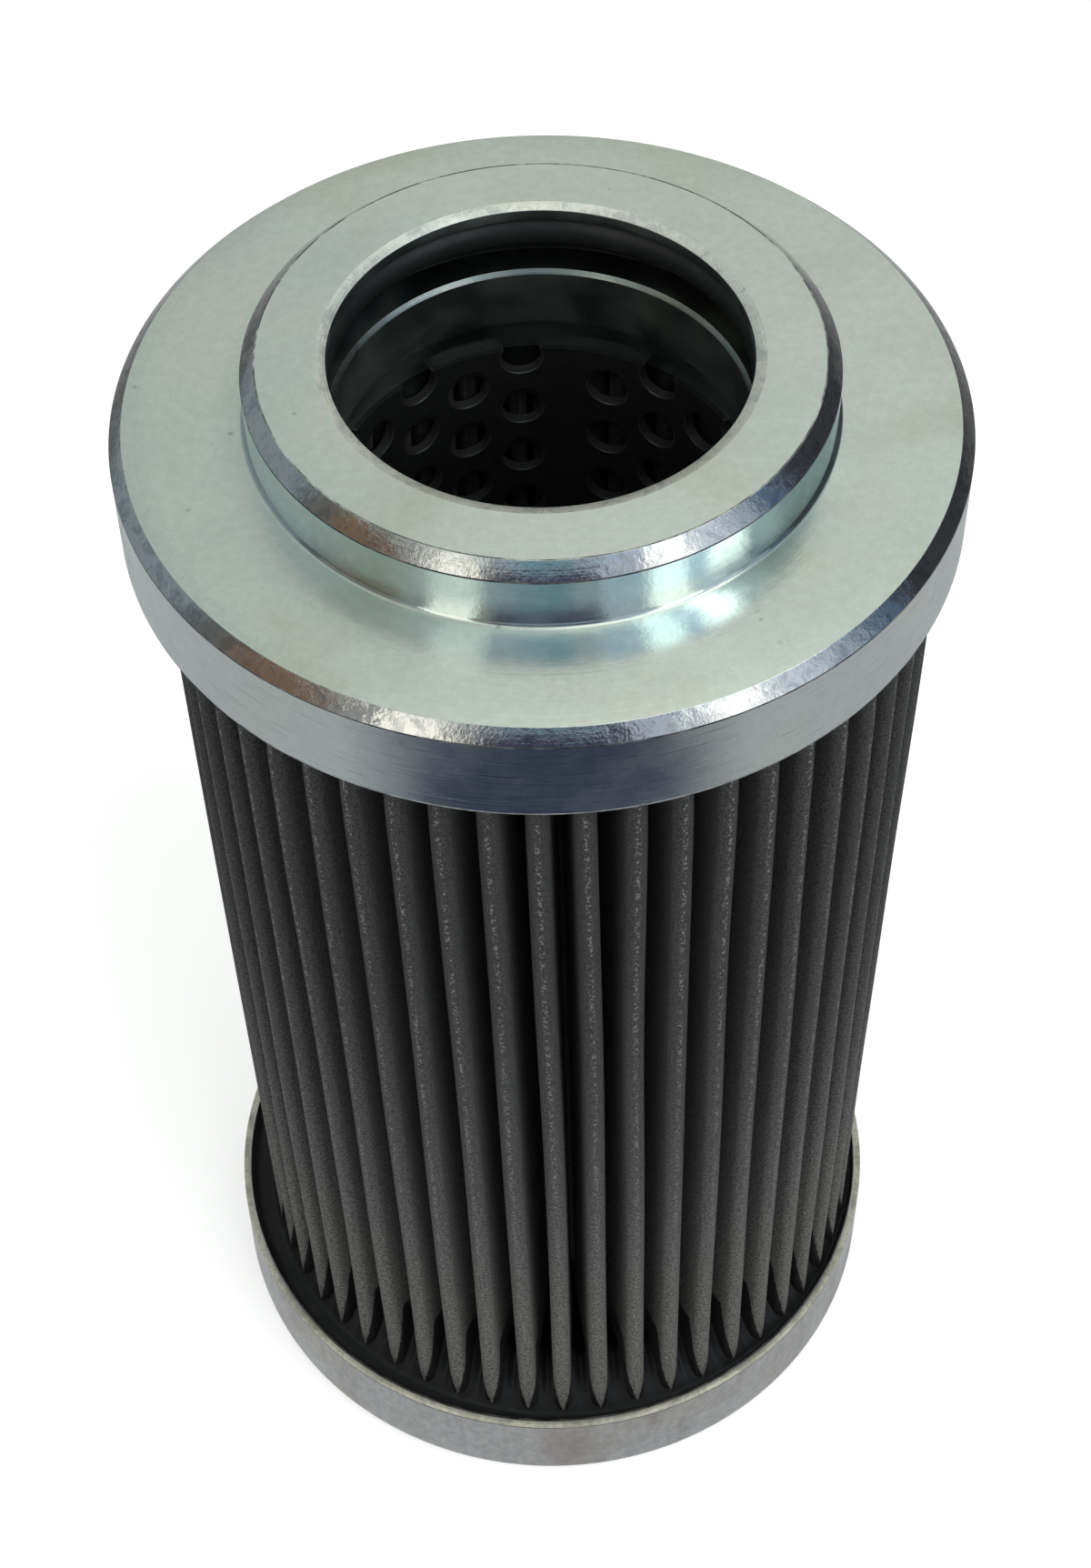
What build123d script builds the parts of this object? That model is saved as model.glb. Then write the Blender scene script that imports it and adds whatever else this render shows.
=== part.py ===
from build123d import *
import os
from math import acos, atan2, cos, degrees, radians, sin

# Pleated hydraulic filter element, in millimetres. +Z points to the end with the seal bore, and
# the origin is the centre of the closed bottom end. Oil passes the folds from the outside, enters
# the perforated tube and leaves through the bore of the turned end cap.

# Bottom end cap: a shallow cup pressed from sheet steel.
cup_radius = 37.8
cup_height = 11.4
cup_wall = 1.0
cup_bend_radius = 0.6
cup_rim_break = 0.2

# Pleated pack: one mesh sheet, folded and closed into a ring.
pleat_count = 54
pack_inset = 1.2
sheet_thickness = 0.75
crest_width = 2.0
root_width = 1.9
pack_foot = 1.5
pack_clearance = 0.1

# Support tube: perforated sheet, rolled and welded along a plain strip.
tube_inner_radius = 19.5
tube_wall = 0.9
tube_length = 123.4
tube_foot = 1.0
tube_clearance = 0.1
hole_radius = 2.0
hole_pitch = 6.65
hole_columns = 22
first_hole_drop = 0.95
lower_margin = 10.0
seam_strip_angle = 25.0
seam_heading = 7.0

# Top end cap: turned steel, with a seal gland in its bore and a potting channel underneath.
flange_overhang = 1.2
flange_height = 10.3
flange_chamfer = 1.2
skirt_break = 0.25
boss_radius = 26.7
boss_height = 6.7
boss_chamfer = 1.3
boss_fillet = 1.0
bore_radius = 19.0
bore_edge_width = 1.0
bore_edge_depth = 0.25
upper_land = 1.4
gland_width = 6.2
gland_depth = 3.35
land_chamfer = 0.4
relief_radius = 20.0
relief_length = 3.9
tube_engagement = 3.0
spigot_wall = 1.1
channel_depth = 3.0
skirt_wall = 2.1

# O-ring in the gland.
ring_section = 3.5
ring_clearance = 0.05

# Potting resin that glues the pack and the tube into both caps.
resin_depth = 8.8
resin_rise = 8.5
resin_slope = 4.5
top_resin_depth = 2.5
pack_headroom = 0.7

# Levels and radii that follow from the sizes above.
cup_inner_radius = cup_radius - cup_wall
pack_radius = cup_inner_radius - pack_inset
flange_radius = cup_radius + flange_overhang
tube_radius = tube_inner_radius + tube_wall
tube_bottom = cup_wall + tube_foot
tube_top = tube_bottom + tube_length
tube_seat_radius = tube_radius + tube_clearance
spigot_radius = tube_seat_radius + spigot_wall
spigot_end = tube_top - tube_engagement
channel_floor = tube_top + relief_length
skirt_edge = channel_floor - channel_depth
flange_face = skirt_edge + flange_height
cap_top = flange_face + boss_height
gland_top = cap_top - upper_land
gland_bottom = gland_top - gland_width
gland_radius = bore_radius + gland_depth
pack_inner_radius = spigot_radius + pack_clearance
pack_bottom = cup_wall + pack_foot
pack_top = channel_floor - pack_headroom
resin_level = cup_wall + resin_depth
skirt_inner_radius = flange_radius - skirt_wall


def outline(points):
    """Flat face in the XZ plane from a closed list of (radius, height) points."""
    return Plane.XZ * Polygon(*points, align=None)


def turned(face):
    return revolve(face, Axis.Z)


def corner(shape, radius, height):
    """The vertex of an XZ face that lies at a radius and height."""
    return shape.vertices().sort_by_distance((radius, 0, height))[0]


def at_heading(angle, radius, height=0):
    """Point at a clockwise heading in degrees from +Y, seen from above."""
    turn = radians(angle)
    return Vector(radius * sin(turn), radius * cos(turn), height)


def make_top_end_cap():
    face = outline([
        (bore_radius + bore_edge_width, cap_top),
        (bore_radius, cap_top - bore_edge_depth),
        (bore_radius, gland_top),
        (gland_radius, gland_top),
        (gland_radius, gland_bottom),
        (bore_radius + land_chamfer, gland_bottom),
        (bore_radius, gland_bottom - land_chamfer),
        (bore_radius, channel_floor),
        (relief_radius, channel_floor),
        (relief_radius, tube_top),
        (tube_seat_radius, tube_top),
        (tube_seat_radius, spigot_end),
        (spigot_radius, spigot_end),
        (spigot_radius, channel_floor),
        (skirt_inner_radius, channel_floor),
        (skirt_inner_radius, skirt_edge),
        (flange_radius - skirt_break, skirt_edge),
        (flange_radius, skirt_edge + skirt_break),
        (flange_radius, flange_face - flange_chamfer),
        (flange_radius - flange_chamfer, flange_face),
        (boss_radius, flange_face),
        (boss_radius, cap_top - boss_chamfer),
        (boss_radius - boss_chamfer, cap_top),
    ])
    face = fillet(corner(face, boss_radius, flange_face), boss_fillet)
    return turned(face)


def make_bore_o_ring():
    """Round section that rests under the gland's upper flank, clear of its floor."""
    ring_radius = gland_radius - ring_clearance - ring_section / 2
    ring_height = gland_top - ring_clearance - ring_section / 2
    section = Plane.XZ * Pos(ring_radius, ring_height) * Circle(ring_section / 2)
    return turned(section)


def hole_centres():
    """Staggered rows of holes, from the tube's upper edge down to its plain lower margin."""
    column_angle = (360 - seam_strip_angle) / (hole_columns - 1)
    lowest = tube_bottom + lower_margin + hole_radius
    for column in range(hole_columns):
        heading = seam_heading + seam_strip_angle / 2 + column * column_angle
        height = tube_top - first_hole_drop
        if column % 2 == 0:
            height -= hole_pitch / 2
        while height > lowest:
            yield heading, height
            height -= hole_pitch


def make_support_tube():
    sheet = Pos(0, 0, tube_bottom) * Cylinder(
        tube_radius, tube_length, align=(Align.CENTER, Align.CENTER, Align.MIN)
    )
    sheet -= Pos(0, 0, tube_bottom) * Cylinder(
        tube_inner_radius, tube_length, align=(Align.CENTER, Align.CENTER, Align.MIN)
    )
    punches = []
    for heading, height in hole_centres():
        middle = at_heading(heading, tube_inner_radius + tube_wall / 2, height)
        outward = Plane(middle, z_dir=at_heading(heading, 1))
        punches.append(outward * Cylinder(hole_radius, 3 * tube_wall))
    return sheet - punches


def fold_loop(crest_radius, root_radius):
    """Closed wire of one side of the folded sheet: an arc over each crest and one under each root,
    joined by straight flanks that are tangent to both."""
    pitch = 360 / pleat_count
    crest_centre = at_heading(0, pack_radius - crest_width / 2)
    root_centre = at_heading(pitch / 2, pack_inner_radius + root_width / 2)
    span = root_centre - crest_centre
    opening = degrees(acos((crest_radius + root_radius) / span.length))
    across = span.normalized().rotate(Axis.Z, opening)
    crest_end = crest_centre + across * crest_radius
    root_start = root_centre - across * root_radius
    crest_heading = degrees(atan2(crest_end.X, crest_end.Y))
    root_heading = degrees(atan2(root_start.X, root_start.Y))
    edges = []
    for pleat in range(pleat_count):
        crest = pleat * pitch
        root = crest + pitch / 2
        crest_arc = ThreePointArc(
            at_heading(crest - crest_heading, crest_end.length),
            at_heading(crest, crest_centre.length + crest_radius),
            at_heading(crest + crest_heading, crest_end.length),
        )
        root_arc = ThreePointArc(
            at_heading(crest + root_heading, root_start.length),
            at_heading(root, root_centre.length - root_radius),
            at_heading(crest + pitch - root_heading, root_start.length),
        )
        next_crest = at_heading(crest + pitch - crest_heading, crest_end.length)
        inward = Line(crest_arc @ 1, root_arc @ 0)
        outward = Line(root_arc @ 1, next_crest)
        edges += [crest_arc, inward, root_arc, outward]
    return Wire(edges)


def make_pleat_pack():
    outside = fold_loop(crest_width / 2, root_width / 2 - sheet_thickness)
    inside = fold_loop(crest_width / 2 - sheet_thickness, root_width / 2)
    sheet = extrude(Face(outside, [inside]), pack_top - pack_bottom, dir=(0, 0, 1))
    return Pos(0, 0, pack_bottom) * sheet


def make_bottom_end_cap():
    face = outline([
        (0, 0),
        (cup_radius, 0),
        (cup_radius, cup_height),
        (cup_inner_radius, cup_height),
        (cup_inner_radius, cup_wall),
        (0, cup_wall),
    ])
    face = fillet(corner(face, cup_radius, 0), cup_bend_radius + cup_wall)
    face = fillet(corner(face, cup_inner_radius, cup_wall), cup_bend_radius)
    face = fillet(corner(face, cup_radius, cup_height), cup_rim_break)
    face = fillet(corner(face, cup_inner_radius, cup_height), cup_rim_break)
    return turned(face)


def make_bottom_potting(pack):
    """Resin that fills the cup, is drawn up between the folds, and holds the tube's foot."""
    drawn_level = resin_level + resin_rise
    face = outline([
        (0, cup_wall),
        (cup_inner_radius, cup_wall),
        (cup_inner_radius, resin_level),
        (pack_radius, resin_level),
        (pack_radius - resin_slope / 4, resin_level + resin_rise / 2),
        (pack_radius - resin_slope, drawn_level),
        (pack_inner_radius + resin_slope, drawn_level),
        (tube_radius, resin_level),
        (tube_radius, tube_bottom),
        (tube_inner_radius, tube_bottom),
        (tube_inner_radius, resin_level),
        (0, resin_level),
    ])
    face = fillet(corner(face, cup_inner_radius, cup_wall), cup_bend_radius)
    return turned(face) - pack


def make_top_potting(pack):
    """Resin ring in the channel, round the upper ends of the folds."""
    face = outline([
        (spigot_radius, channel_floor - top_resin_depth),
        (skirt_inner_radius, channel_floor - top_resin_depth),
        (skirt_inner_radius, channel_floor),
        (spigot_radius, channel_floor),
    ])
    return turned(face) - pack


def main():
    pack = make_pleat_pack()
    parts = {
        "top_end_cap": make_top_end_cap(),
        "bore_o_ring": make_bore_o_ring(),
        "support_tube": make_support_tube(),
        "pleat_pack": pack,
        "top_potting": make_top_potting(pack),
        "bottom_potting": make_bottom_potting(pack),
        "bottom_end_cap": make_bottom_end_cap(),
    }
    os.makedirs("parts", exist_ok=True)
    for name, shape in parts.items():
        export_step(shape, f"parts/{name}.step")


main()
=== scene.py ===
from math import acos, atan2, cos, pi, radians, sin

import bpy
import numpy as np
from mathutils import Matrix, Vector


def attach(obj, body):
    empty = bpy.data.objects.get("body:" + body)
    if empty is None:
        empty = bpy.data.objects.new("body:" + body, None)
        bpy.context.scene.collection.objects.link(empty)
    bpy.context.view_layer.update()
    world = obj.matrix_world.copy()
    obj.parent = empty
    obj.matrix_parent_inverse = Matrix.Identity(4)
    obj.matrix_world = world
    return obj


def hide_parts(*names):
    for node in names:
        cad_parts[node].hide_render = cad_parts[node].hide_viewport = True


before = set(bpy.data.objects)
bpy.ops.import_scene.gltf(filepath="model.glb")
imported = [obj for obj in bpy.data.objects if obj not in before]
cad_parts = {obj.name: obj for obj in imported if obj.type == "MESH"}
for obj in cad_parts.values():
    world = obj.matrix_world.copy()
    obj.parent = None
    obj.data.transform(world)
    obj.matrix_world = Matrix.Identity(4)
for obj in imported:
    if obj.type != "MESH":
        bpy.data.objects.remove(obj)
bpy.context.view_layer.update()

MM = 0.001
rng = np.random.default_rng(54)

# Sizes of the object in millimetres, the same as in the CAD source.
CUP_RADIUS, CUP_HEIGHT, CUP_WALL, CUP_BEND = 37.8, 11.4, 1.0, 0.6
PLEATS, PACK_RADIUS, PACK_INNER, SHEET = 54, 35.6, 21.7, 0.75
PACK_BOTTOM, PACK_TOP = 2.5, 128.6
CREST_WIDTH, ROOT_WIDTH = 2.0, 1.9
TUBE_INNER, TUBE_WALL, TUBE_BOTTOM, TUBE_TOP = 19.5, 0.9, 2.0, 125.4
HOLE_RADIUS, HOLE_PITCH, HOLE_COLUMNS, FIRST_HOLE = 2.0, 6.65, 22, 0.95
SEAM_STRIP, SEAM_HEADING = 25.0, 7.0
FLANGE_RADIUS, FLANGE_FACE, FLANGE_CHAMFER = 39.0, 136.6, 1.2
SKIRT_EDGE, SKIRT_BREAK, SKIRT_WALL = 126.3, 0.25, 2.1
BOSS_RADIUS, CAP_TOP, BOSS_CHAMFER = 26.7, 143.3, 1.3
BORE_RADIUS, BORE_EDGE_WIDTH, BORE_EDGE_DEPTH, LAND_CHAMFER = 19.0, 1.0, 0.25, 0.4
GLAND_TOP, GLAND_BOTTOM, GLAND_RADIUS = 141.9, 135.7, 22.35
RELIEF_RADIUS, SEAT_RADIUS, SPIGOT_RADIUS = 20.0, 20.5, 21.6
CHANNEL_FLOOR, SPIGOT_END = 129.3, 122.4
RING_SECTION, RING_CLEARANCE = 3.5, 0.05
RESIN_LEVEL, RESIN_RISE, RESIN_SLOPE = 9.8, 8.5, 4.5

# The real pack is less even than its CAD solid. Its folds stand wider apart at the front, where one
# is shifted by up to FRONT_SPREAD, and each one sways and bulges by itself.
FRONT_SPREAD = radians(2.2)
FOLD_SWAY = radians(0.45)
FOLD_BULGE = 0.12
# Radius over the crests at four heights: the pack widens upwards and is drawn in under the cap.
CREST_HEIGHTS = [2.5, 65.5, 118.0, 126.0]
CREST_RADII = [34.97, 35.7, 36.33, 36.15]


# ---------------------------------------------------------------- meshes
def new_object(name, data):
    piece = bpy.data.objects.new(name, data)
    bpy.context.scene.collection.objects.link(piece)
    return piece


def stitch(first, second, count):
    """Quads between two rings of points, each given by the number of its first point."""
    c = np.arange(count)
    n = (c + 1) % count
    return np.stack([first + c, second + c, second + n, first + n], -1)


def grid_faces(rows, columns, close_rows=False, flip=False):
    """Quads between rings of points that are numbered row by row. They face outwards where the
    rows run anticlockwise in a section with the radius to the right and the height upwards."""
    count = rows if close_rows else rows - 1
    quads = [stitch(i * columns, (i + 1) % rows * columns, columns) for i in range(count)]
    quads = np.concatenate(quads)
    return quads[:, ::-1] if flip else quads


def fan(pole, first, count, flip=False):
    """Triangles that close a ring of points with one point on the axis. They face outwards where
    the section ends on the axis, and need a flip where it starts there."""
    c = np.arange(count)
    n = (c + 1) % count
    sides = np.stack([np.full(count, pole), first + n, first + c], -1)
    return sides[:, ::-1] if flip else sides


def build_mesh(name, points, faces, materials, face_material=None):
    """Smooth mesh from points in millimetres and a list of quad or triangle arrays."""
    mesh = bpy.data.meshes.new(name)
    loops = np.concatenate([f.reshape(-1) for f in faces])
    sizes = np.concatenate([np.full(len(f), f.shape[1]) for f in faces])
    starts = np.concatenate([[0], np.cumsum(sizes)[:-1]])
    mesh.vertices.add(len(points))
    mesh.vertices.foreach_set("co", (np.asarray(points) * MM).astype(np.float32).ravel())
    mesh.loops.add(len(loops))
    mesh.loops.foreach_set("vertex_index", loops.astype(np.int32))
    mesh.polygons.add(len(sizes))
    mesh.polygons.foreach_set("loop_start", starts.astype(np.int32))
    mesh.polygons.foreach_set("use_smooth", np.ones(len(sizes), bool))
    for material in materials:
        mesh.materials.append(material)
    if face_material is not None:
        mesh.polygons.foreach_set("material_index", face_material.astype(np.int32))
    mesh.update(calc_edges=True)
    mesh.validate()
    return mesh


def rounded(corners, steps):
    """Closed profile with its corners rounded. A corner is (radius, height, rounding, material),
    where the material is that of the line that leaves the corner."""
    points, marks = [], []
    count = len(corners)
    for i, (r, z, size, mark) in enumerate(corners):
        here = Vector((r, z))
        before = Vector(corners[i - 1][:2]) - here
        after = Vector(corners[(i + 1) % count][:2]) - here
        if size <= 0:
            points.append(here)
            marks.append(mark)
            continue
        half = before.angle(after) / 2
        back = size / np.tan(half)
        centre = here + (before.normalized() + after.normalized()).normalized() * (size / sin(half))
        start = here + before.normalized() * back - centre
        end = here + after.normalized() * back - centre
        turn = start.angle_signed(end)
        for k in range(steps + 1):
            spin = Matrix.Rotation(-turn * k / steps, 2)
            points.append(centre + spin @ start)
            marks.append(corners[i - 1][3] if k < steps / 2 else mark)
    return np.array(points), np.array(marks)


def refined(points, marks, longest, closed=True):
    """Adds points on the long lines of a profile."""
    out, out_marks = [], []
    count = len(points)
    for i in range(count if closed else count - 1):
        a, b = points[i], points[(i + 1) % count]
        n = max(1, int(np.ceil(np.linalg.norm(b - a) / longest)))
        for k in range(n):
            out.append(a + (b - a) * k / n)
            out_marks.append(marks[i])
    if not closed:
        out.append(points[-1])
        out_marks.append(marks[-1])
    return np.array(out), np.array(out_marks)


def revolved(name, profile, marks, segments, materials, closed=True):
    """Solid of revolution about Z of a profile of (radius, height) that runs anticlockwise. A
    profile that isn't closed starts and ends on the axis."""
    rings = profile if closed else profile[1:-1]
    turn = np.linspace(0, 2 * pi, segments, endpoint=False)
    r, a = np.meshgrid(rings[:, 0], turn, indexing="ij")
    z = np.repeat(rings[:, 1:2], segments, 1)
    points = np.stack([r * np.sin(a), r * np.cos(a), z], -1).reshape(-1, 3)
    faces = [grid_faces(len(rings), segments, close_rows=closed)]
    if not closed:
        start = len(points)
        faces.append(fan(start, 0, segments, flip=True))
        faces.append(fan(start + 1, start - segments, segments))
        points = np.concatenate([points, [(0, 0, profile[0, 1]), (0, 0, profile[-1, 1])]])
        marks = np.concatenate([marks[1:-2], marks[:1], marks[-2:-1]])
    mesh = build_mesh(name, points, faces, materials, np.repeat(marks, segments))
    return new_object(name, mesh)


# ---------------------------------------------------------------- materials
class Finish:
    """A node material. Each method after set adds one node and returns what it puts out."""

    def __init__(self, name):
        self.material = bpy.data.materials.new(name)
        self.material.use_nodes = True
        self.tree = self.material.node_tree
        self.tree.nodes.clear()
        self.out = self.tree.nodes.new("ShaderNodeOutputMaterial")
        self.shader = self.tree.nodes.new("ShaderNodeBsdfPrincipled")
        self.tree.links.new(self.shader.outputs[0], self.out.inputs["Surface"])
        self.place = self.tree.nodes.new("ShaderNodeTexCoord").outputs["Object"]

    def put(self, node, socket, value):
        if value is None:
            return
        if isinstance(value, bpy.types.NodeSocket):
            self.tree.links.new(value, node.inputs[socket])
        else:
            node.inputs[socket].default_value = value

    def set(self, **values):
        names = {
            "color": "Base Color", "metal": "Metallic", "rough": "Roughness", "normal": "Normal",
            "specular": "Specular IOR Level", "aniso": "Anisotropic", "tangent": "Tangent",
            "aniso_turn": "Anisotropic Rotation", "sheen": "Sheen Weight",
            "sheen_rough": "Sheen Roughness",
        }
        for key, value in values.items():
            self.put(self.shader, names[key], value)

    def math(self, operation, a, b=None, c=None):
        node = self.tree.nodes.new("ShaderNodeMath")
        node.operation = operation
        for i, value in enumerate((a, b, c)):
            self.put(node, i, value)
        return node.outputs[0]

    def vector(self, operation, a, b=None, scale=None):
        node = self.tree.nodes.new("ShaderNodeVectorMath")
        node.operation = operation
        self.put(node, 0, a)
        self.put(node, 1, b)
        self.put(node, "Scale", scale)
        return node.outputs["Value" if operation == "LENGTH" else "Vector"]

    def split(self, vector):
        node = self.tree.nodes.new("ShaderNodeSeparateXYZ")
        self.put(node, 0, vector)
        return node.outputs

    def join(self, x, y, z):
        node = self.tree.nodes.new("ShaderNodeCombineXYZ")
        for i, value in enumerate((x, y, z)):
            self.put(node, i, value)
        return node.outputs[0]

    def noise(self, vector, scale, detail=2.0, rough=0.5, distortion=0.0):
        node = self.tree.nodes.new("ShaderNodeTexNoise")
        self.put(node, "Vector", vector)
        self.put(node, "Scale", scale)
        self.put(node, "Detail", detail)
        self.put(node, "Roughness", rough)
        self.put(node, "Distortion", distortion)
        return node.outputs[0]

    def cells(self, vector, scale):
        node = self.tree.nodes.new("ShaderNodeTexVoronoi")
        self.put(node, "Vector", vector)
        self.put(node, "Scale", scale)
        return node.outputs["Distance"]

    def ramp(self, value, low, high, to_low=0.0, to_high=1.0):
        node = self.tree.nodes.new("ShaderNodeMapRange")
        node.interpolation_type = "SMOOTHSTEP"
        for i, number in enumerate((value, low, high, to_low, to_high)):
            self.put(node, i, number)
        return node.outputs[0]

    def mix(self, share, a, b):
        """Colour a, with a share of colour b. Sockets 0, 6 and 7 are the share and the colours."""
        node = self.tree.nodes.new("ShaderNodeMix")
        node.data_type = "RGBA"
        self.put(node, 0, share)
        self.put(node, 6, a)
        self.put(node, 7, b)
        return node.outputs[2]

    def bump(self, height, distance, normal=None):
        node = self.tree.nodes.new("ShaderNodeBump")
        self.put(node, "Strength", 1.0)
        self.put(node, "Distance", distance)
        self.put(node, "Height", height)
        self.put(node, "Normal", normal)
        return node.outputs[0]

    def attribute(self, name, output):
        node = self.tree.nodes.new("ShaderNodeAttribute")
        node.attribute_name = name
        return node.outputs[output]


def rgb(red, green, blue):
    """Linear colour from 8-bit sRGB numbers."""
    def linear(v):
        v = v / 255
        return v / 12.92 if v <= 0.04045 else ((v + 0.055) / 1.055) ** 2.4
    return (linear(red), linear(green), linear(blue), 1.0)


# Chatter marks are laid out round a circle of this radius, in metres.
CHATTER_RADIUS = 0.0385


def zinc(name, rough, marks, tint, chatter=0.0, stain=0.35, grain=1.0, sparkle=0.0,
         brushed=0.0, scratch=0.0, mottle=0.0):
    """Passivated zinc on turned steel: pale grey-green, with faint yellow and blue films, pin-holes
    and turning marks round the axis. Chatter runs across narrow bevels and scratch round a wall,
    sparkle is fine grit, mottle is blue and brown patches, and brushed stretches the highlights
    across the turning marks."""
    f = Finish(name)
    x, y, z = f.split(f.place)
    flat = f.join(x, y, 0.0)
    film = f.noise(f.place, 38.0, 3.0, 0.55, 0.6)
    film2 = f.noise(f.vector("ADD", f.place, (0.37, 0.11, 0.2)), 24.0, 2.0, 0.5, 0.4)
    color = f.mix(f.ramp(film, 0.48, 0.72, 0.0, stain), rgb(*tint), rgb(205, 208, 178))
    color = f.mix(f.ramp(film2, 0.52, 0.74, 0.0, stain), color, rgb(190, 205, 214))
    fine = f.noise(f.place, 900.0, 3.0, 0.7)
    color = f.mix(f.ramp(fine, 0.30, 0.75, 0.10, 0.0), color, rgb(120, 128, 120))
    pits = f.cells(f.place, 420.0)
    spots = f.noise(f.place, 210.0, 1.0)
    dots = f.math("MULTIPLY", f.ramp(pits, 0.05, 0.16, 1.0, 0.0), f.ramp(spots, 0.60, 0.68))
    color = f.mix(f.math("MULTIPLY", dots, 0.5 * grain), color, rgb(95, 98, 92))
    lathe = f.join(f.vector("LENGTH", flat), z, 0.0)
    height = f.math("MULTIPLY", f.noise(lathe, 5200.0, 2.0, 0.6), marks)
    height = f.math("MULTIPLY_ADD", f.noise(lathe, 1500.0, 2.0, 0.6), marks, height)
    height = f.math("MULTIPLY_ADD", fine, 0.55 * grain, height)
    if chatter:
        around = f.vector("SCALE", f.vector("NORMALIZE", flat), scale=CHATTER_RADIUS)
        height = f.math("MULTIPLY_ADD", f.noise(around, 1500.0, 3.0, 0.65), chatter, height)
        height = f.math("MULTIPLY_ADD", f.noise(around, 320.0, 2.0, 0.5), 1.5 * chatter, height)
    if mottle:
        patches = f.noise(f.place, 520.0, 3.0, 0.7, 0.6)
        color = f.mix(f.ramp(patches, 0.50, 0.64, 0.0, mottle), color, rgb(84, 96, 118))
        color = f.mix(f.ramp(patches, 0.46, 0.34, 0.0, 0.7 * mottle), color, rgb(124, 104, 84))
    if scratch:
        lines = f.noise(f.vector("MULTIPLY", f.place, (1.0, 1.0, 26.0)), 170.0, 2.0, 0.6)
        color = f.mix(f.ramp(lines, 0.60, 0.72, 0.0, scratch), color, rgb(96, 104, 116))
        height = f.math("MULTIPLY_ADD", lines, 0.5, height)
    if sparkle:
        grit = f.noise(f.place, 4000.0, 2.0, 0.7, 0.8)
        patch = f.ramp(f.noise(f.place, 260.0, 2.0, 0.6), 0.42, 0.60, 0.1, 1.3)
        height = f.math("MULTIPLY_ADD", f.math("MULTIPLY", grit, patch), 2.6 * sparkle, height)
    blotch = f.ramp(f.noise(f.place, 130.0, 3.0, 0.6), 0.35, 0.7, rough * 0.82, rough * 1.25)
    f.set(color=color, metal=1.0, rough=blotch, normal=f.bump(height, 0.00003))
    if brushed:
        round_axis = f.tree.nodes.new("ShaderNodeTangent")
        round_axis.direction_type = "RADIAL"
        round_axis.axis = "Z"
        f.set(aniso=brushed, aniso_turn=0.25, tangent=round_axis.outputs[0])
    return f.material


def sheet_zinc(name):
    """Zinc-plated sheet of the pressed cup: greyer and warmer, with drawing marks, stains and one
    brownish stain near the front."""
    f = Finish(name)
    x, y, z = f.split(f.place)
    side_x, side_y, _ = f.split(f.vector("NORMALIZE", f.join(x, y, 0.0)))
    drawn = f.noise(f.join(side_x, side_y, f.math("MULTIPLY", z, 2.0)), 46.0, 3.0, 0.6)
    film = f.noise(f.place, 60.0, 3.0, 0.6, 0.8)
    runs = f.noise(f.vector("MULTIPLY", f.place, (1.0, 1.0, 0.28)), 160.0, 3.0, 0.6, 0.5)
    color = f.mix(f.ramp(film, 0.42, 0.72, 0.0, 0.6), rgb(198, 198, 197), rgb(188, 181, 166))
    color = f.mix(f.ramp(drawn, 0.40, 0.72, 0.0, 0.35), color, rgb(168, 172, 176))
    color = f.mix(f.ramp(runs, 0.56, 0.72, 0.0, 0.6), color, rgb(150, 132, 130))
    fine = f.noise(f.place, 1000.0, 3.0, 0.7)
    color = f.mix(f.ramp(fine, 0.36, 0.62, 0.24, 0.0), color, rgb(112, 114, 110))
    away = f.vector("SUBTRACT", f.place, (0.0015, -0.0378, 0.006))
    away = f.vector("LENGTH", f.vector("MULTIPLY", away, (1.0, 0.4, 0.45)))
    stain = f.ramp(f.math("MULTIPLY_ADD", runs, 0.006, away), 0.0035, 0.0085, 0.4, 0.0)
    color = f.mix(stain, color, rgb(140, 116, 112))
    height = f.math("MULTIPLY_ADD", drawn, 1.2, f.math("MULTIPLY", fine, 0.6))
    rough = f.ramp(f.noise(f.place, 150.0, 3.0, 0.6), 0.35, 0.7, 0.26, 0.42)
    f.set(color=color, metal=1.0, rough=rough, normal=f.bump(height, 0.00004))
    return f.material


def worn_and_highlight_zinc(name, tint, spots):
    """Narrow edges, rubbed matt in patches. The light bands at the skirt's edge and on the cup's
    rim are painted highlights.
    """
    f = Finish(name)
    rubbed = f.noise(f.place, 300.0, 3.0, 0.7)
    fine = f.noise(f.place, 1600.0, 3.0, 0.7)
    color = f.mix(f.ramp(rubbed, 0.40, 0.66), rgb(*tint), rgb(*spots))
    color = f.mix(f.ramp(fine, 0.34, 0.60, 0.3, 0.0), color, rgb(84, 84, 80))
    f.set(color=color, metal=0.55, rough=f.ramp(rubbed, 0.3, 0.7, 0.45, 0.6),
          normal=f.bump(fine, 0.00004))
    return f.material


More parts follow.
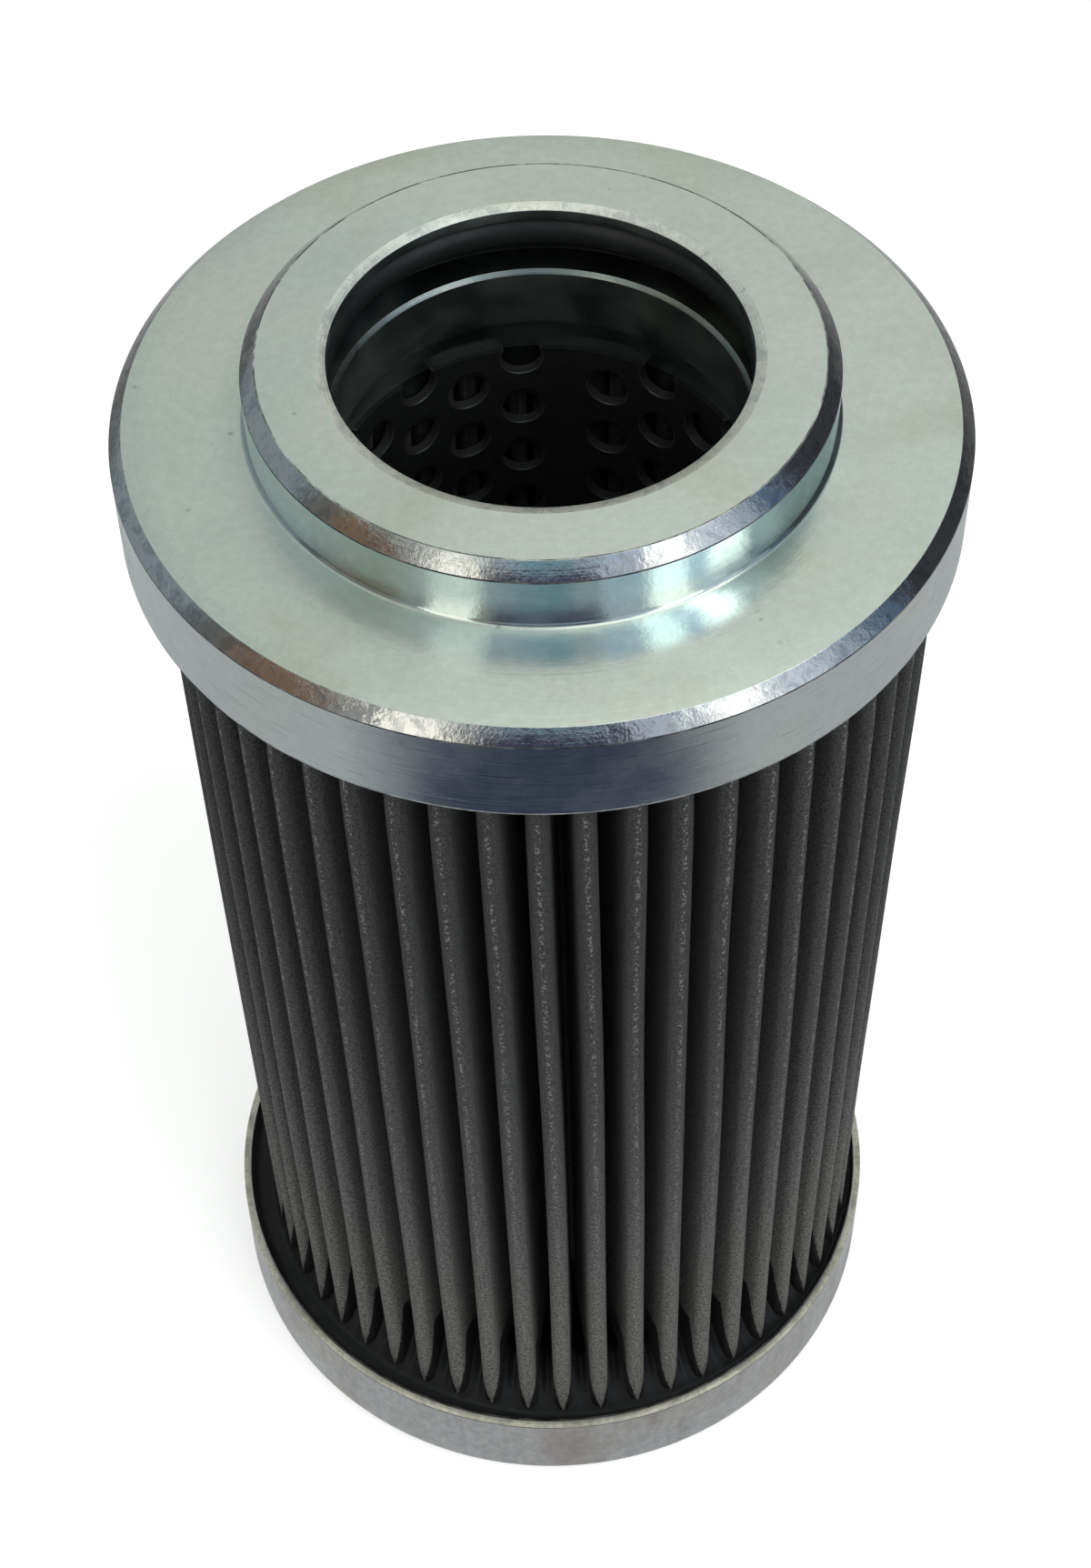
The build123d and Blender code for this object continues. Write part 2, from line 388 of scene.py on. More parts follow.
def perforated_steel(name):
    """Dull rolled sheet. Round each punched hole the inner surface draws over a soft edge, and its
    colour is painted lighter there as a highlight.
    """
    f = Finish(name)
    x, y, z = f.split(f.place)
    last = HOLE_COLUMNS - 1
    column_angle = radians(360 - SEAM_STRIP) / last
    turn = f.math("SUBTRACT", f.math("ARCTAN2", x, y), radians(SEAM_HEADING))
    turn = f.math("SUBTRACT", f.math("FLOORED_MODULO", turn, 2 * pi), pi)
    column = f.math("MULTIPLY_ADD", turn, 1 / column_angle, last / 2)
    nearest = f.math("MINIMUM", f.math("MAXIMUM", f.math("ROUND", column), 0.0), float(last))
    across = f.math("MULTIPLY", f.math("SUBTRACT", column, nearest), column_angle * TUBE_INNER)
    lowered = f.math("PINGPONG", f.math("ADD", nearest, 1.0), 1.0)
    down = f.math("MULTIPLY_ADD", z, -1 / MM, TUBE_TOP - FIRST_HOLE + HOLE_PITCH / 2)
    down = f.math("MULTIPLY_ADD", lowered, -HOLE_PITCH / 2, down)
    row = f.math("SUBTRACT", f.math("FLOORED_MODULO", down, HOLE_PITCH), HOLE_PITCH / 2)
    away = f.vector("LENGTH", f.join(across, row, 0.0))
    film = f.noise(f.place, 120.0, 3.0, 0.6, 0.5)
    fine = f.noise(f.place, 800.0, 3.0, 0.7)
    color = f.mix(f.ramp(film, 0.4, 0.7, 0.0, 0.6), rgb(104, 108, 106), rgb(84, 87, 84))
    color = f.mix(f.ramp(fine, 0.3, 0.7, 0.25, 0.0), color, rgb(66, 68, 66))
    flat = f.ramp(away, HOLE_RADIUS, HOLE_RADIUS + 0.35)
    # Painted highlight: the colour is painted lighter within 0.35 mm of each hole, on the soft edge
    # and the punched wall.
    color = f.mix(f.math("MULTIPLY_ADD", flat, -0.6, 0.6), color, rgb(158, 160, 156))
    grain = f.bump(f.math("MULTIPLY_ADD", film, 0.8, fine), 0.00003)
    f.set(color=color, metal=0.92, rough=f.ramp(film, 0.3, 0.7, 0.34, 0.44),
          normal=f.bump(flat, 0.0002, grain))
    return f.material


def rubber(name):
    """Moulded black rubber with a little dust."""
    f = Finish(name)
    fine = f.noise(f.place, 1400.0, 3.0, 0.6)
    dust = f.ramp(f.noise(f.place, 240.0, 3.0, 0.6), 0.55, 0.75, 0.0, 0.35)
    color = f.mix(dust, rgb(26, 27, 28), rgb(52, 52, 50))
    f.set(color=color, rough=f.ramp(fine, 0.3, 0.7, 0.38, 0.52), specular=0.45,
          normal=f.bump(fine, 0.00002))
    return f.material


def resin(name):
    """Cast black resin, half glossy, with a little dust."""
    f = Finish(name)
    slow = f.noise(f.place, 170.0, 3.0, 0.55)
    fine = f.noise(f.place, 1300.0, 2.0, 0.6)
    dust = f.ramp(f.noise(f.place, 500.0, 3.0, 0.7), 0.60, 0.80, 0.0, 0.4)
    color = f.mix(dust, rgb(25, 25, 26), rgb(62, 62, 58))
    height = f.math("MULTIPLY_ADD", slow, 6.0, fine)
    f.set(color=color, rough=f.ramp(slow, 0.3, 0.7, 0.48, 0.66), specular=0.42,
          normal=f.bump(height, 0.00003))
    return f.material


# Width in millimetres of two wires of the mesh with their gaps.
WIRE_PERIOD = 0.30


def woven(name):
    """Woven wire mesh over the folds. The weave attribute holds the distance along the sheet,
    the height and the distance from the crest, all in millimetres. Crests carry a broken line of
    painted highlights on the wire knuckles, and resin has soaked the lower ends."""
    f = Finish(name)
    along, up, nose = f.split(f.attribute("weave", "Vector"))
    turns = 2 * pi / WIRE_PERIOD
    warp = f.math("ABSOLUTE", f.math("SINE", f.math("MULTIPLY", along, turns)))
    weft = f.math("ABSOLUTE", f.math("SINE", f.math("MULTIPLY", up, turns)))
    wires = f.math("MULTIPLY_ADD", warp, 0.4, f.math("MULTIPLY", weft, 0.6))
    sheet = f.join(along, up, 0.0)
    slow = f.noise(sheet, 0.06, 3.0, 0.6)
    fine = f.noise(sheet, 2.5, 4.0, 0.85)
    grain = f.noise(sheet, 7.0, 2.0, 0.8)
    rubbed = f.noise(f.join(along, f.math("MULTIPLY", up, 0.4), 3.0), 1.1, 2.0, 0.6)
    color = f.mix(f.ramp(slow, 0.35, 0.70, 0.0, 0.4), rgb(92, 92, 94), rgb(94, 92, 89))
    # Painted light: the mesh is painted lighter and warmer towards the foot, where light bounces up
    # from the floor.
    color = f.mix(f.ramp(up, 70.0, 16.0), color, rgb(121, 117, 112))
    color = f.mix(f.ramp(wires, 0.1, 0.9, 0.45, 0.0), color, rgb(36, 36, 38))
    color = f.mix(f.ramp(fine, 0.42, 0.56, 0.9, 0.0), color, rgb(28, 28, 29))
    color = f.mix(f.ramp(grain, 0.42, 0.52, 0.7, 0.0), color, rgb(24, 24, 25))
    color = f.mix(f.ramp(grain, 0.55, 0.66, 0.0, 0.6), color, rgb(160, 160, 160))
    color = f.mix(f.ramp(rubbed, 0.50, 0.80, 0.0, 0.25), color, rgb(60, 58, 58))
    # Painted shade: the mesh is painted darker towards the head, in the shade under the cap.
    color = f.mix(f.ramp(up, 24.0, 106.0, 0.0, 0.58), color, rgb(20, 20, 21))
    side = f.math("ABSOLUTE", nose)
    # Painted highlight: a broken line of bright dots along each crest, where the wire knuckles
    # catch the light, stronger higher up.
    crest = f.join(f.math("MULTIPLY", nose, 3.0), f.math("MULTIPLY", up, 2.3), along)
    glint_dots = f.ramp(f.cells(crest, 1.0), 0.26, 0.46, 1.0, 0.0)
    painted_crest_glints = f.math("MULTIPLY", glint_dots, f.ramp(side, 0.10, 0.34, 1.0, 0.0))
    painted_crest_glints = f.math("MULTIPLY", painted_crest_glints, f.ramp(up, 24.0, 60.0, 0.2, 0.9))
    color = f.mix(painted_crest_glints, color, rgb(112, 112, 111))
    edge = f.math("MULTIPLY_ADD", f.math("MINIMUM", side, 2.5), 5.0, 9.9)
    waver = f.math("SUBTRACT", f.noise(sheet, 0.8, 3.0, 0.6), 0.5)
    edge = f.math("MULTIPLY_ADD", waver, 2.4, edge)
    soaked = f.ramp(f.math("SUBTRACT", edge, up), -0.35, 0.35)
    color = f.mix(soaked, color, rgb(22, 22, 22))
    height = f.math("MULTIPLY_ADD", fine, 1.2, wires)
    height = f.math("MULTIPLY", height, f.math("SUBTRACT", 1.0, soaked))
    f.set(color=color, metal=0.0, rough=f.ramp(soaked, 0.0, 1.0, 0.75, 0.55), specular=0.35,
          sheen=0.04, sheen_rough=0.25, normal=f.bump(height, 0.00006))
    return f.material


# ---------------------------------------------------------------- top end cap
FACE, BEVEL, WALL, BORE, RIM, GLAND, EDGE, LAND, SKIRT_HIGHLIGHT, BURR, NICKED = range(11)
# Widths of the narrow bands along the skirt's edge, which is a painted highlight, under both
# chamfers and on top of the boss.
SKIRT_HIGHLIGHT_BAND, BURR_BAND, NICKED_BAND = 0.17, 0.2, 0.15


def make_top_end_cap():
    skirt_inner = FLANGE_RADIUS - SKIRT_WALL
    flange_bevel = FLANGE_FACE - FLANGE_CHAMFER
    boss_bevel = CAP_TOP - BOSS_CHAMFER
    corners = [
        (BORE_RADIUS + BORE_EDGE_WIDTH, CAP_TOP, 0.25, EDGE),
        (BORE_RADIUS, CAP_TOP - BORE_EDGE_DEPTH, 0.12, BORE),
        (BORE_RADIUS, GLAND_TOP, 0.10, GLAND),
        (GLAND_RADIUS, GLAND_TOP, 0.15, GLAND),
        (GLAND_RADIUS, GLAND_BOTTOM, 0.15, GLAND),
        (BORE_RADIUS + LAND_CHAMFER, GLAND_BOTTOM, 0.08, LAND),
        (BORE_RADIUS, GLAND_BOTTOM - LAND_CHAMFER, 0.08, BORE),
        (BORE_RADIUS, CHANNEL_FLOOR, 0.10, BORE),
        (RELIEF_RADIUS, CHANNEL_FLOOR, 0.15, BORE),
        (RELIEF_RADIUS, TUBE_TOP, 0.0, GLAND),
        (SEAT_RADIUS, TUBE_TOP, 0.0, GLAND),
        (SEAT_RADIUS, SPIGOT_END, 0.0, BORE),
        (SPIGOT_RADIUS, SPIGOT_END, 0.0, BORE),
        (SPIGOT_RADIUS, CHANNEL_FLOOR, 0.0, BORE),
        (skirt_inner, CHANNEL_FLOOR, 0.0, BORE),
        (skirt_inner, SKIRT_EDGE, 0.10, RIM),
        (FLANGE_RADIUS - SKIRT_BREAK, SKIRT_EDGE, 0.08, BEVEL),
        # Painted highlight: a light band up the skirt's wall just above its lower edge.
        (FLANGE_RADIUS, SKIRT_EDGE + SKIRT_BREAK, 0.08, SKIRT_HIGHLIGHT),
        (FLANGE_RADIUS, SKIRT_EDGE + SKIRT_BREAK + SKIRT_HIGHLIGHT_BAND, 0.0, RIM),
        (FLANGE_RADIUS, flange_bevel - BURR_BAND, 0.0, BURR),
        (FLANGE_RADIUS, flange_bevel, 0.06, BEVEL),
        (FLANGE_RADIUS - FLANGE_CHAMFER, FLANGE_FACE, 0.10, FACE),
        (BOSS_RADIUS, FLANGE_FACE, 0.45, WALL),
        (BOSS_RADIUS, boss_bevel - BURR_BAND, 0.0, BURR),
        (BOSS_RADIUS, boss_bevel, 0.06, BEVEL),
        (BOSS_RADIUS - BOSS_CHAMFER, CAP_TOP, 0.06, NICKED),
        (BOSS_RADIUS - BOSS_CHAMFER - NICKED_BAND, CAP_TOP, 0.0, FACE),
    ]
    profile, marks = rounded(corners, 5)
    profile, marks = refined(profile, marks, 3.0)
    # In the order of the numbers FACE to NICKED.
    materials = [
        zinc("zinc_turned_face", 0.19, 0.12, (233, 242, 235), grain=0.7, brushed=0.8),
        zinc("zinc_turned_bevel", 0.12, 0.3, (240, 240, 236), chatter=0.22, stain=0.1,
             grain=1.6, sparkle=0.16, mottle=0.32),
        zinc("zinc_turned_boss", 0.06, 0.2, (234, 243, 242), chatter=0.05, grain=0.5),
        zinc("zinc_turned_bore", 0.50, 0.6, (160, 168, 162)),
        zinc("zinc_turned_rim", 0.24, 0.3, (206, 212, 211), chatter=0.05, grain=0.4,
             scratch=0.35),
        # Painted shade: the gland, the step over the tube and the seat get a dark tint for the
        # shade in these recesses.
        zinc("zinc_turned_gland_painted_shade", 0.60, 0.6, (62, 66, 62)),
        zinc("zinc_turned_edge", 0.34, 0.9, (250, 252, 244), chatter=0.5, grain=1.4,
             sparkle=0.4, mottle=0.25),
        zinc("zinc_turned_land", 0.30, 0.9, (168, 174, 168), chatter=0.5, grain=2.0),
        worn_and_highlight_zinc("zinc_skirt_painted_highlight", (172, 176, 177), (112, 116, 120)),
        worn_and_highlight_zinc("zinc_dark_burr", (44, 48, 54), (120, 124, 124)),
        worn_and_highlight_zinc("zinc_nicked_edge", (84, 88, 88), (198, 204, 198)),
    ]
    return revolved("top_end_cap_finish", profile, marks, 540, materials)


# ---------------------------------------------------------------- O-ring
def make_o_ring():
    section = RING_SECTION / 2
    centre_r = GLAND_RADIUS - RING_CLEARANCE - section
    centre_z = GLAND_TOP - RING_CLEARANCE - section
    turn = np.linspace(0, 2 * pi, 40, endpoint=False)
    profile = np.stack([centre_r + section * np.cos(turn), centre_z + section * np.sin(turn)], -1)
    marks = np.zeros(len(profile))
    return revolved("bore_o_ring_finish", profile, marks, 360, [rubber("black_rubber_moulded")])


# ---------------------------------------------------------------- pleated pack
# Points along a crest's half arc, a flank and a root's half arc, and up the two surfaces.
CREST_STEPS, FLANK_STEPS, ROOT_STEPS = 7, 5, 3
OUTER_ROWS, INNER_ROWS = 42, 8


def at_heading(angle, radius):
    """Point at a clockwise heading in degrees from +Y, seen from above."""
    turn = radians(angle)
    return Vector((radius * sin(turn), radius * cos(turn)))


def half_fold(crest_radius, root_radius):
    """Points from the crest's nose to the root's lowest point, over half a pitch."""
    crest_centre = at_heading(0, PACK_RADIUS - CREST_WIDTH / 2)
    root_centre = at_heading(180 / PLEATS, PACK_INNER + ROOT_WIDTH / 2)
    span = root_centre - crest_centre
    opening = acos((crest_radius + root_radius) / span.length)
    base = atan2(span.y, span.x) + opening
    points = []
    for k in range(CREST_STEPS + 1):
        a = pi / 2 + (base - pi / 2) * k / CREST_STEPS
        points.append(crest_centre + crest_radius * Vector((cos(a), sin(a))))
    root_from = base + pi
    root_to = atan2(-root_centre.y, -root_centre.x)
    while root_to < root_from - pi:
        root_to += 2 * pi
    while root_to > root_from + pi:
        root_to -= 2 * pi
    root = []
    for k in range(ROOT_STEPS + 1):
        a = root_from + (root_to - root_from) * k / ROOT_STEPS
        root.append(root_centre + root_radius * Vector((cos(a), sin(a))))
    flank = [points[-1].lerp(root[0], k / FLANK_STEPS) for k in range(1, FLANK_STEPS)]
    return np.array(points + flank + root)


def fold_section(half):
    """One whole fold from root to root as (angle, radius, distance from the nose)."""
    angle = np.arctan2(half[:, 0], half[:, 1])
    radius = np.hypot(half[:, 0], half[:, 1])
    run = np.concatenate([[0], np.cumsum(np.linalg.norm(np.diff(half, axis=0), axis=1))])
    angle = np.concatenate([-angle[:0:-1], angle[:-1]])
    radius = np.concatenate([radius[:0:-1], radius[:-1]])
    run = np.concatenate([-run[:0:-1], run[:-1]])
    return angle, radius, run


def slow_wave(z, size):
    """Smooth random shift for each fold that changes slowly with height: a sum of three waves."""
    waves = 3
    total = np.zeros((len(z), PLEATS))
    for _ in range(waves):
        phase = rng.uniform(0, 2 * pi, PLEATS)
        length = rng.uniform(50, 160, PLEATS)
        weight = rng.uniform(0.4, 1.0, PLEATS) / waves
        total += weight * np.sin(2 * pi * z[:, None] / length + phase)
    return total * size


def pack_aside(z):
    """The pack sits a little towards +X in its caps, most at its foot."""
    return 0.59 + 0.0039 * (115.5 - z)


def pack_twist(z):
    """The folds are twisted a little from foot to head."""
    return radians(1.12) + radians(1.21) * (z - 65.5) / 57.0


def pack_layer(half, z, sway, bulge):
    """One surface of the folded sheet: its points, ring by ring, and their place in the weave."""
    angle, radius, run = fold_section(half)
    crest = np.arange(PLEATS) * 2 * pi / PLEATS
    depth = np.clip((radius - PACK_INNER) / (PACK_RADIUS - PACK_INNER), 0, 1)
    a = crest[None, :, None] + angle[None, None, :] + pack_twist(z)[:, None, None]
    a = a - FRONT_SPREAD * np.sin(a) + sway[:, :, None] * depth[None, None, :] ** 1.5
    taper = np.interp(z, CREST_HEIGHTS, CREST_RADII) / PACK_RADIUS
    r = radius[None, None, :] * (1 + (taper[:, None, None] - 1) * depth[None, None, :])
    r = r + bulge[:, :, None] * depth[None, None, :] ** 2
    zz = np.broadcast_to(z[:, None, None], r.shape)
    points = np.stack([r * np.sin(a) + pack_aside(zz), r * np.cos(a), zz], -1)
    nose = np.broadcast_to(run[None, None, :], r.shape)
    # Each fold starts at another place of the mesh, so that no two look alike.
    along = nose + 31.0 * np.arange(PLEATS)[None, :, None]
    weave = np.stack([along, zz, nose], -1)
    return points.reshape(-1, 3), weave.reshape(-1, 3)


def make_pack():
    """The folded sheet: an outer and an inner surface that sway together, joined at both ends."""
    surfaces = [
        (half_fold(CREST_WIDTH / 2, ROOT_WIDTH / 2 - SHEET), OUTER_ROWS),
        (half_fold(CREST_WIDTH / 2 - SHEET, ROOT_WIDTH / 2), INNER_ROWS),
    ]
    state = rng.bit_generator.state
    points, weave = [], []
    for half, rows in surfaces:
        rng.bit_generator.state = state
        z = np.linspace(PACK_BOTTOM, PACK_TOP, rows)
        sway = slow_wave(z, FOLD_SWAY)
        bulge = slow_wave(z, FOLD_BULGE)
        layer_points, layer_weave = pack_layer(half, z, sway, bulge)
        points.append(layer_points)
        weave.append(layer_weave)
    inner = len(points[0])
    ring = inner // OUTER_ROWS
    faces = [
        grid_faces(OUTER_ROWS, ring),
        grid_faces(INNER_ROWS, ring, flip=True) + inner,
        stitch(inner, 0, ring),
        stitch(inner - ring, inner + (INNER_ROWS - 1) * ring, ring),
    ]
    mesh = build_mesh("pleat_pack_mesh", np.concatenate(points), faces, [woven("woven_mesh")])
    layer = mesh.attributes.new("weave", "FLOAT_VECTOR", "POINT")
    layer.data.foreach_set("vector", np.concatenate(weave).astype(np.float32).ravel())
    return new_object("pleat_pack_mesh", mesh)


# ---------------------------------------------------------------- resin
def make_bottom_resin():
    """Resin in the cup: flat at the rim, drawn up between the folds, with small menisci. The
    surface goes on inside the tube, and the rings under it close the solid along the cup."""
    segments = PLEATS * 16
    inner = CUP_RADIUS - CUP_WALL
    tube_outer = TUBE_INNER + TUBE_WALL
    radii = np.concatenate([
        np.linspace(inner, inner - 1.0, 5)[:-1],
        np.linspace(inner - 1.0, 28.0, 30),
        [26.0, 24.0, 22.0, tube_outer + 0.2, tube_outer],
    ])
    turn = np.linspace(0, 2 * pi, segments, endpoint=False)
    r, a = np.meshgrid(radii, turn, indexing="ij")
    x, y = r * np.sin(a) - pack_aside(RESIN_LEVEL), r * np.cos(a)
    reach = np.hypot(x, y)
    place = np.arctan2(x, y)
    pitch = 2 * pi / PLEATS
    phase = (place + FRONT_SPREAD * np.sin(place) - pack_twist(RESIN_LEVEL)) / pitch
    off = np.abs(phase - np.round(phase)) * 2
    fold = np.round(phase).astype(int) % PLEATS
    lift = rng.uniform(-1.0, 1.0, PLEATS)
    depth = np.clip((PACK_RADIUS - 0.2 - reach) / RESIN_SLOPE, 0, 1)
    drawn = RESIN_RISE * (0.55 * depth + 0.45 * depth**1.6)
    drawn = drawn * (1 + 0.10 * lift[fold] * (1 - off)) * (1 - 0.40 * off**2)
    rim = 0.35 * np.clip(1 - (inner - r) / 0.9, 0, 1) ** 2
    ripple = 0.12 * np.sin(5 * a + 1.0) + 0.08 * np.sin(11 * a + 2.2) + 0.05 * np.sin(23 * a)
    z = RESIN_LEVEL + drawn + rim + ripple * np.clip(inner - r, 0, 1)
    surface = np.stack([r * np.sin(a), r * np.cos(a), z], -1).reshape(-1, 3)
    inside = [
        (tube_outer, TUBE_BOTTOM + 1.0),
        (TUBE_INNER, TUBE_BOTTOM + 0.2),
        (TUBE_INNER, RESIN_LEVEL),
        (12.0, RESIN_LEVEL - 0.15),
        (0.4, RESIN_LEVEL - 0.2),
    ]
    under = [
        (0.4, CUP_WALL),
        (inner - CUP_BEND, CUP_WALL),
        (inner - 0.3 * CUP_BEND, CUP_WALL + 0.3 * CUP_BEND),
        (inner, CUP_WALL + CUP_BEND),
    ]
    rings = [np.stack([q * np.sin(turn), q * np.cos(turn), np.full(segments, h)], -1)
             for q, h in inside + under]
    poles = [(0, 0, RESIN_LEVEL - 0.2), (0, 0, CUP_WALL)]
    points = np.concatenate([surface, *rings, poles])
    inside_start = len(surface)
    under_start = inside_start + len(inside) * segments
    pole = under_start + len(under) * segments
    faces = [
        grid_faces(len(radii), segments),
        stitch(inside_start - segments, inside_start, segments),
        grid_faces(len(inside), segments) + inside_start,
        fan(pole, under_start - segments, segments),
        fan(pole + 1, under_start, segments, flip=True),
        grid_faces(len(under), segments) + under_start,
        stitch(pole - segments, 0, segments),
    ]
    mesh = build_mesh("bottom_potting_resin", points, faces, [resin("resin_black")])
    return new_object("bottom_potting_resin", mesh)


# ---------------------------------------------------------------- bottom cup
def make_bottom_cup():
    """Pressed cup, with a worn rim whose light tint is a painted highlight, and a dark line under
    it.
    """
    inner = CUP_RADIUS - CUP_WALL
    sheet, rim, line = range(3)
    rim_foot = CUP_HEIGHT - 0.42
    line_foot = rim_foot - 0.16
    corners = [
        (0.0, 0.0, 0.0, sheet),
        (CUP_RADIUS, 0.0, CUP_BEND + CUP_WALL, sheet),
        (CUP_RADIUS, line_foot, 0.0, line),
        (CUP_RADIUS, rim_foot, 0.0, rim),
        (CUP_RADIUS, CUP_HEIGHT, 0.32, rim),
        (inner + 0.4, CUP_HEIGHT, 0.0, sheet),
        (inner, CUP_HEIGHT, 0.18, sheet),
        (inner, CUP_WALL, CUP_BEND, sheet),
        (0.0, CUP_WALL, 0.0, sheet),
    ]
    profile, marks = rounded(corners, 6)
    profile, marks = refined(profile, marks, 2.0, closed=False)
    materials = [
        sheet_zinc("zinc_sheet_pressed"),
        # Painted highlight: the rim's light tint stands in for the light that its rounded edge
        # catches.
        worn_and_highlight_zinc("zinc_sheet_rim_painted_highlight", (206, 203, 186), (174, 172, 158)),
        worn_and_highlight_zinc("zinc_sheet_line", (62, 62, 56), (128, 124, 116)),
    ]
    return revolved("bottom_end_cap_finish", profile, marks, 480, materials, closed=False)


cap = make_top_end_cap()
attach(cap, "root"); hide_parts("top_end_cap")
ring = make_o_ring()
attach(ring, "root"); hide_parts("bore_o_ring")
pack = make_pack()
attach(pack, "root"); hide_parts("pleat_pack")
potting = make_bottom_resin()
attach(potting, "root"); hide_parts("bottom_potting")
cup = make_bottom_cup()
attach(cup, "root"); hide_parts("bottom_end_cap")


def dress(node, material):
    """Finish of a piece that is shown as its CAD solid."""
    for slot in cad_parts[node].material_slots:
        slot.material = material


dress("support_tube", perforated_steel("perforated_steel_sheet"))
dress("top_potting", resin("resin_black_top"))


# ---------------------------------------------------------------- studio
# Panels of the room that the bright metal shows: azimuths in degrees, clockwise from the front
# towards +X, elevations, and linear colour. Later panels lie over earlier ones.
LEFT_WALL = (0.21, 0.25, 0.28)
RIGHT_WALL = (0.035, 0.037, 0.045)
FRONT = (0.045, 0.045, 0.08)
PANELS = [
    ((-149, -52), (-40, 43), LEFT_WALL),
    ((-90, -79), (-40, 43), (0.10, 0.115, 0.115)),
    ((-79, -52), (14, 43), (0.17, 0.115, 0.08)),
    ((-52, -41), (-40, 43), (0.25, 0.26, 0.27)),
    ((-41, -24), (-40, 43), (1.18, 1.16, 1.07)),
    ((-24, -12), (-40, 43), (0.24, 0.23, 0.22)),
    ((-12, 21), (-40, 43), (0.22, 0.29, 0.34)),
    ((-18, 21), (16, 42), FRONT),
    ((21, 38), (-40, 43), (0.42, 0.48, 0.56)),
    ((38, 54), (-40, 43), (1.50, 1.52, 1.52)),
    ((54, 68), (-40, 43), (0.60, 0.68, 0.78)),
    ((68, 80), (-40, 43), (0.32, 0.40, 0.49)),
    ((80, 91), (-40, 43), (0.08, 0.13, 0.21)),
    ((91, 153), (-40, 43), RIGHT_WALL),
    ((-165, -48), (37, 62), (0.38, 0.43, 0.42)),
    ((-48, -24), (43, 62), (0.64, 0.72, 0.70)),
    ((-24, 24), (43, 62), (0.30, 0.38, 0.44)),
    ((-11, 11), (43, 62), (0.15, 0.28, 0.36)),
    ((24, 43), (43, 62), (0.36, 0.48, 0.64)),
    ((43, 58), (43, 62), (1.40, 1.70, 1.80)),
    ((58, 68), (43, 62), (0.42, 0.62, 0.90)),
    ((68, 85), (43, 62), (2.20, 2.40, 2.45)),
    ((85, 102), (37, 62), (0.44, 0.56, 0.64)),
    ((102, 150), (37, 62), (0.27, 0.35, 0.37)),
]
ROOM_RADIUS = 3000.0
FLOOR_HALF = 6000.0
# Heights of the floor and of the table that only reflections show, on both sides of height 0.
FLOOR_HEIGHT, TABLE_HEIGHT = -0.05, 0.05
# The lamps, in metres: the height that they look at, their distance from it and their width.
LAMP_AIM, LAMP_REACH, LAMP_WIDTH = 0.07, 1.2, 0.9


def between(value, limits, soft):
    """1 between two limits, with soft edges."""
    low, high = limits
    rise = np.clip((value - low) / soft + 0.5, 0, 1)
    fall = np.clip((high - value) / soft + 0.5, 0, 1)
    share = np.minimum(rise, fall)
    return share * share * (3 - 2 * share)


def glow(name):
    """Gives off the light that the panel attribute holds."""
    f = Finish(name)
    light = f.tree.nodes.new("ShaderNodeEmission")
    f.put(light, "Color", f.attribute("panel", "Color"))
    f.tree.links.new(light.outputs[0], f.out.inputs["Surface"])
    return f.material


def reflected(name, points, colors):
    """A stage piece that only glossy surfaces see, from a grid of points and colours."""
    rows, columns = points.shape[:2]
    mesh = build_mesh(name, points.reshape(-1, 3), [grid_faces(rows, columns)], [glow(name)])
    layer = mesh.attributes.new("panel", "FLOAT_COLOR", "POINT")
    rgba = np.concatenate([colors.reshape(-1, 3), np.ones((rows * columns, 1))], 1)
    layer.data.foreach_set("color", rgba.astype(np.float32).ravel())
    piece = new_object(name, mesh)
    piece.visible_camera = False
    piece.visible_diffuse = False
    piece.visible_shadow = False
    piece.visible_transmission = False


def make_room():
    """Dome of soft panels round the object: walls, windows and the dark place of a table."""
    azimuths = np.arange(-180.0, 180.0, 1.0)
    elevations = np.arange(-89.0, 90.0, 1.0)
    el, az = np.meshgrid(elevations, azimuths, indexing="ij")
    grey = np.interp(el, [0, 5, 20, 40, 50, 65], [0.12, 0.12, 0.38, 0.55, 0.62, 0.90])
    grey = grey * (1 + 0.45 * np.sin(np.radians(az)))
    color = grey[:, :, None] * np.array([0.97, 1.0, 0.95])
    for sides, heights, panel in PANELS:
        share = between(az, sides, 2.5) * between(el, heights, 2.0)
        color += share[:, :, None] * (np.array(panel) - color)
    t, p = np.radians(az), np.radians(el)
    points = np.stack([np.cos(p) * np.sin(t), -np.cos(p) * np.cos(t), np.sin(p)], -1)
    reflected("room", points * ROOM_RADIUS + np.array([0, 0, FLANGE_FACE]), color)


def make_table():
    """What the turned walls show of the place round the object: a pale grey table, darker far
    out, with a soft dark patch in front."""
    radii = np.concatenate([np.linspace(20, 420, 81), np.linspace(450, 2950, 26)])
    headings = np.arange(0.0, 360.0, 1.5)
    r, t = np.meshgrid(radii, np.radians(headings), indexing="ij")
    x, y = r * np.sin(t), -r * np.cos(t)
    grey = np.interp(r, [0, 185, 420, 900], [0.56, 0.54, 0.22, 0.10])
    color = grey[:, :, None] * np.array([0.97, 1.0, 1.02])
    dark = between(x, (-96, 96), 76.0) * between(y, (-320, -95), 24.0)
    color += dark[:, :, None] * (np.array([0.035, 0.045, 0.085]) - color)
    reflected("table", np.stack([x, y, np.full(x.shape, TABLE_HEIGHT)], -1), color)


def seen_rays(tree):
    """1 for rays of the camera, of mirror-like and of clear surfaces, 0 for all others."""
    path = tree.nodes.new("ShaderNodeLightPath").outputs
    seen = path["Is Camera Ray"]
    for kind in ("Is Glossy Ray", "Is Transmission Ray"):
        either = tree.nodes.new("ShaderNodeMath")
        either.operation = "MAXIMUM"
        tree.links.new(seen, either.inputs[0])
        tree.links.new(path[kind], either.inputs[1])
        seen = either.outputs[0]
    return seen


